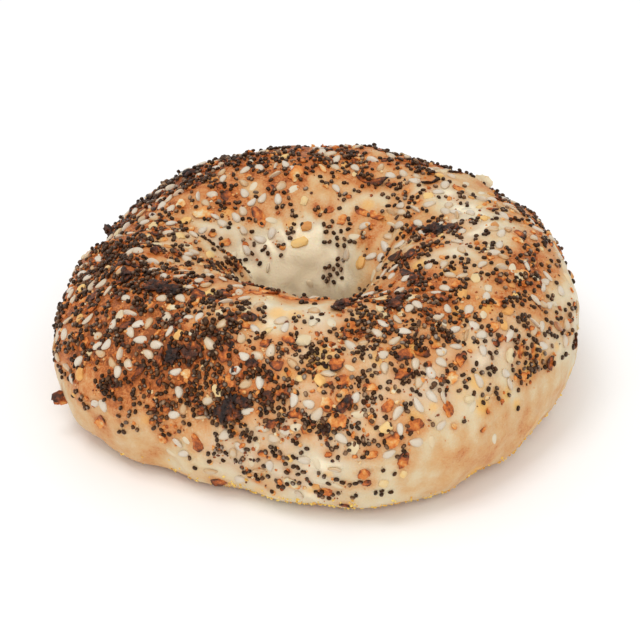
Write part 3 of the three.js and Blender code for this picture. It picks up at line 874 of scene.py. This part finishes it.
# The rim band darkens the tone: partly the seed's thin edge and partly painted shade of its rounded rim.
tone = scaled(tree, stored(tree, "rim"), 0.26, tone, clamp=True)
coloured(tree, shader, tone, SESAME_SHADES)
raised(tree, shader, veined, 0.12, 0.6)
lit_within(shader, 0.15, (1.0, 0.8, 0.6), 0.0006)
dress(sesame, sesame_finish)
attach(sesame, "root")

# The sesame under the skin. Some seeds sank into the wet dough before its skin set over them in the oven,
# and show as pale lumps.
SUNKEN_COUNT = 50
SUNKEN_LIFT = -0.22
SUNKEN_PLACES = [
    (288, 26, 10, 14, 50), (256, 2, 16, 14, 30), (272, 88, 14, 14, 50), (110, 140, 40, 14, 30),
    (20, 88, 14, 12, 30),
]
SUNKEN_SHADES = [(0, 216, 204, 178), (0.5, 218, 194, 154), (1, 212, 176, 126)]
sunken = sesame_seeds(
    "sesame_under_skin", SUNKEN_COUNT, SUNKEN_LIFT, sesame_draws.uniform(0, 0.5, SUNKEN_COUNT),
    lambda ring, tube: 0.02 + near_places(ring, tube, SUNKEN_PLACES),
)
skinned_finish, tree, shader = new_finish("skinned_sesame", 0.5, 0.4)
veined = noise(tree, 1200, 3, 0.55)
tone = own_tone(tree, veined, 0.3, clamp=True)
coloured(tree, shader, tone, SUNKEN_SHADES)
raised(tree, shader, veined, 0.15, 0.5)
dress(sunken, skinned_finish)
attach(sunken, "root")

# The poppy. Poppy seeds are kidney-shaped, a millimetre long, slate black, and brown where less ripe; a
# painted highlight makes the top face of each seed paler. They stuck to the wet skin in strings and clumps,
# most thickly round the onion.
POPPY_SIZE = (1.12, 1.02, 0.8)
BLACK_COUNT, BROWN_COUNT = 1960, 1440
POPPY_GAP = 0.42
POPPY_CLUMPS = [
    (72, 163, 12), (88, 145, 8), (60, 150, 6), (104, 131, 5), (300, 57, 6), (285, 26, 8), (22, 166, 9),
    (345, 152, 6),
]
CLUMP_SPREAD = (1.3, 2.3)
STRING_STEPS = (1.0, 1.7)
STRINGS_AT_ONCE, LONGEST_STRING = 60, 12
STEP_ON_SHARE = 0.6
ON_TOP_LIFT = 0.55
# How far the top face of a poppy seed is painted towards the palest of its shades: a painted highlight.
PAINTED_HIGHLIGHT_STRENGTH = 0.85
BLACK_SHADES = [(0, 34, 20, 12), (0.3, 50, 32, 21), (0.6, 88, 67, 52), (1, 156, 140, 124)]
BROWN_SHADES = [(0, 42, 23, 11), (0.3, 60, 35, 19), (0.6, 102, 72, 50), (1, 162, 132, 104)]
poppy_draws = np.random.default_rng(305)


def grow_clump(ring, tube, members, steps, found):
    """Add seeds one by one, each a step from the last or from the same one; a few land on top."""
    share = float(cover(ring, tube))
    for _ in range(members):
        a = poppy_draws.uniform(0, math.tau)
        step = poppy_draws.uniform(*steps)
        point = crust(ring, tube)
        wide = max(math.hypot(point[0], point[1]), 8.0)
        to_ring = ring + step * math.cos(a) / wide / RAD
        to_tube = tube + step * math.sin(a) / ROPE_HALF_WIDTH / RAD
        spot = crust(to_ring, to_tube)
        if not is_free(spot, POPPY_GAP, (laid_sesame, laid_bare)):
            continue
        if is_free(spot, POPPY_GAP, (laid_poppy,)):
            claim(laid_poppy, spot, POPPY_GAP)
            found.append((to_ring, to_tube, 0.0))
            if poppy_draws.uniform() < STEP_ON_SHARE:
                ring, tube = to_ring, to_tube
        elif poppy_draws.uniform() < 0.12 + 0.25 * share:
            found.append((to_ring, to_tube, ON_TOP_LIFT))


def poppy_places(count):
    """Strings and clumps: each starts where the cover allows and grows by touching seeds."""
    found = []
    for ring, tube, members in POPPY_CLUMPS:
        grow_clump(ring, tube, 2 * members, CLUMP_SPREAD, found)
    while len(found) < count:
        starts = scatter(STRINGS_AT_ONCE, POPPY_GAP, poppy_draws, laid_poppy, (laid_sesame, laid_bare))
        for ring, tube in starts:
            found.append((ring, tube, 0.0))
            members = poppy_draws.geometric(0.62 - 0.4 * float(cover(ring, tube)))
            grow_clump(ring, tube, min(members, LONGEST_STRING) - 1, STRING_STEPS, found)
    found = np.array(found[:count])
    return found[poppy_draws.permutation(count)]


def poppy_seeds(name, places, tones):
    form, faces = ball(2)
    x, y, z = form.T
    dent = 0.34 * np.exp(-((x / 0.22) ** 2) - ((z / 0.4) ** 2)) * (y < 0)
    form = np.stack([x * (1 + 0.12 * (y > 0)), y + dent * np.abs(y) * 2, z], -1)
    count = len(places)
    sizes = np.array(POPPY_SIZE) * poppy_draws.normal(1, 0.08, (count, 3))
    spin = poppy_draws.uniform(0, math.tau, count)
    lean = poppy_draws.normal(0, 0.35, count)
    lift = 0.2 + places[:, 2] + poppy_draws.normal(0, 0.05, count)
    points = crust(places[:, 0], places[:, 1])
    flake_points = crust(flake_places[:, 0], flake_places[:, 1])
    for flake, reach, thick in zip(flake_points, 0.4 * flake_sizes[:, 0], flake_sizes[:, 2]):
        lift += 0.8 * thick * (np.sum((points - flake) ** 2, -1) < reach * reach)
    piece = joined(name, form[None] * sizes[:, None], faces, places[:, :2], lift, spin, lean, tones)
    # The top face of each seed is painted paler by a random amount: a painted highlight, carried by the
    # face attribute.
    painted_highlight = poppy_draws.uniform(0, 1, (count, 1)) ** 1.5
    attribute(piece, "face", (2 * np.abs(z)) ** 4.5 * painted_highlight)
    return piece


def poppy_finish(name, stops):
    finish, tree, shader = new_finish(name, 0.27, 0.26)
    set_inputs(shader, specular_tint=paint(255, 214, 176))
    # The face attribute lifts the tone towards the palest shade: the painted highlight.
    tone = scaled(tree, stored(tree, "face"), PAINTED_HIGHLIGHT_STRENGTH, stored(tree, "tone"))
    pitted = texture(tree, "ShaderNodeTexVoronoi", scale=5200)
    tone = scaled(tree, pitted, 0.15, tone, clamp=True)
    coloured(tree, shader, tone, stops)
    raised(tree, shader, pitted, 0.08, 0.5)
    return finish


all_poppy = poppy_places(BLACK_COUNT + BROWN_COUNT)
black_tones = poppy_draws.beta(1.2, 5.0, BLACK_COUNT)
black_poppy = poppy_seeds("poppy_seeds_black", all_poppy[:BLACK_COUNT], black_tones)
brown_tones = poppy_draws.beta(1.2, 4.0, BROWN_COUNT)
brown_poppy = poppy_seeds("poppy_seeds_brown", all_poppy[BLACK_COUNT:], brown_tones)
dress(black_poppy, poppy_finish("black_poppy", BLACK_SHADES))
dress(brown_poppy, poppy_finish("brown_poppy", BROWN_SHADES))
for poppy in (black_poppy, brown_poppy):
    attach(poppy, "root")

# The crumbs. Onion dust and broken bits fill the gaps between the seeds, orange-brown to nearly black.
# They stuck to the wet skin with the rest.
CRUMB_COUNT = 4800
CRUMB_ROOM, CRUMB_LIFT = 0.16, 0.08
crumb_draws = np.random.default_rng(306)
crumb_places = scatter(CRUMB_COUNT, CRUMB_ROOM, crumb_draws, laid_bits, power=1.2)
crumb_ball, crumb_faces = ball(1)


def grains(sizes, draws, roughness):
    """Rough little lumps, one for each row of sizes."""
    uneven = 1 + draws.normal(0, roughness, (len(sizes), len(crumb_ball), 1))
    return crumb_ball[None] * sizes[:, None] * uneven


crumb_sizes = crumb_draws.gamma(4, 0.15, (CRUMB_COUNT, 1)).clip(0.25, 1.5)
crumb_sizes = crumb_sizes * crumb_draws.uniform(0.6, 1.2, (CRUMB_COUNT, 3))
crumb_shapes = grains(crumb_sizes, crumb_draws, 0.2)
crumb_heat = 0.42 + 0.3 * cover(crumb_places[:, 0], crumb_places[:, 1])
crumb_heat = crumb_heat + 0.2 * crumb_draws.normal(size=CRUMB_COUNT)
crumbs = joined(
    "onion_crumbs", crumb_shapes, crumb_faces, crumb_places, CRUMB_LIFT,
    crumb_draws.uniform(0, math.tau, CRUMB_COUNT), crumb_draws.normal(0, 0.4, CRUMB_COUNT),
    np.clip(crumb_heat, 0.1, 0.95), smooth=False,
)
attribute(crumbs, "edge", np.zeros(len(crumbs.data.vertices)))
dress(crumbs, onion_finish)
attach(crumbs, "root")

# The meal. The board was dusted with coarse yellow maize meal, to keep the dough from sticking to it, and
# the grains clung to the underside and its edge.
MEAL_COUNT = 2000
MEAL_ROOM, MEAL_LIFT = 0.2, 0.05
MEAL_TUBES = (225, 335)
MEAL_PLACES = [
    (314, 314, 24, 10, 160), (266, 322, 14, 8, 90), (320, 305, 40, 16, 80), (200, 300, 60, 14, 35),
    (60, 300, 60, 14, 35), (0, 270, 900, 26, 40),
]
MEAL_SHADES = [(0, 246, 218, 120), (0.6, 240, 196, 88), (1, 214, 152, 60)]
meal_draws = np.random.default_rng(307)
meal_places = scatter(
    MEAL_COUNT, MEAL_ROOM, meal_draws, {}, tubes=MEAL_TUBES,
    share_at=lambda ring, tube: near_places(ring, tube, MEAL_PLACES),
)
meal_sizes = meal_draws.uniform(0.3, 0.75, (MEAL_COUNT, 1)) * meal_draws.uniform(0.7, 1.2, (MEAL_COUNT, 3))
meal_shapes = grains(meal_sizes, meal_draws, 0.15)
meal = joined(
    "maize_meal", meal_shapes, crumb_faces, meal_places, MEAL_LIFT,
    meal_draws.uniform(0, math.tau, MEAL_COUNT), meal_draws.normal(0, 0.4, MEAL_COUNT),
    meal_draws.uniform(0, 1, MEAL_COUNT), smooth=False,
)
meal_finish, tree, shader = new_finish("maize_meal", 0.6, 0.4)
gritty = noise(tree, 3000, 2, 0.6)
tone = own_tone(tree, gritty, 0.3, clamp=True)
coloured(tree, shader, tone, MEAL_SHADES)
raised(tree, shader, gritty, 0.1, 0.6)
dress(meal, meal_finish)
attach(meal, "root")

# What the toppings did to the crust. Onion and burnt lumps bled brown into the skin round them, thickly
# laid seeds darkened it, and garlic sunk in the skin shows as yellow spots.
HALO_STEPS = (2.2, 3.0)
HALO_STRENGTH, HALO_START, HALO_MOST = 4.0, 0.24, 0.5
YELLOW_SPOTS, SPOT_ROOM = 130, 0.8


def marks(places, reaches, strengths, crispness=1):
    """Round marks in the crust, each strongest in its middle."""
    field = np.zeros(dough_rings.shape)
    for point, reach, strength in zip(crust(places[:, 0], places[:, 1]), reaches, strengths):
        away = np.sum((dough_points - point) ** 2, -1)
        field = np.maximum(field, strength * np.exp(-(away / (reach * reach)) ** crispness))
    return field


stains = np.maximum(
    marks(flake_places, 0.5 * flake_sizes[:, 0] + 0.6, 0.3 + 0.7 * flake_tones),
    marks(burnt[:, :2], 0.5 * burnt[:, 2] + 0.9, np.ones(len(burnt))),
)
seed_count, _, _ = np.histogram2d(
    np.concatenate([all_poppy[:, 0], crumb_places[:, 0]]) % 360,
    np.concatenate([all_poppy[:, 1], crumb_places[:, 1]]) % 360,
    bins=(RING_STEPS, TUBE_STEPS), range=((0, 360), (0, 360)),
)
halo_i = math.pi * np.fft.fftfreq(RING_STEPS)[:, None] * HALO_STEPS[0]
halo_j = math.pi * np.fft.fftfreq(TUBE_STEPS)[None] * HALO_STEPS[1]
seed_share = np.fft.ifft2(np.fft.fft2(seed_count) * np.exp(-2 * halo_i ** 2 - 2 * halo_j ** 2)).real
cell_area = np.clip(np.hypot(dough_points[..., 0], dough_points[..., 1]) / 45, 0.3, 1.2)
halo = np.clip(seed_share / cell_area * HALO_STRENGTH - HALO_START, 0, HALO_MOST)
attribute(dough, "stain", np.clip(stains + halo, 0, 1))

spot_draws = np.random.default_rng(308)
spot_places = scatter(
    YELLOW_SPOTS, SPOT_ROOM, spot_draws, {}, tubes=(-35, 150),
    share_at=lambda ring, tube: np.clip(0.3 - 2 * near_places(ring, tube, BROWNER_PLACES_AND_PAINTED_SHADE), 0, 1),
)
spot_reaches = spot_draws.uniform(0.9, 2.2, YELLOW_SPOTS)
spot_strengths = spot_draws.uniform(0.25, 0.8, YELLOW_SPOTS)
attribute(dough, "yellowing", marks(spot_places, spot_reaches, spot_strengths, crispness=2))
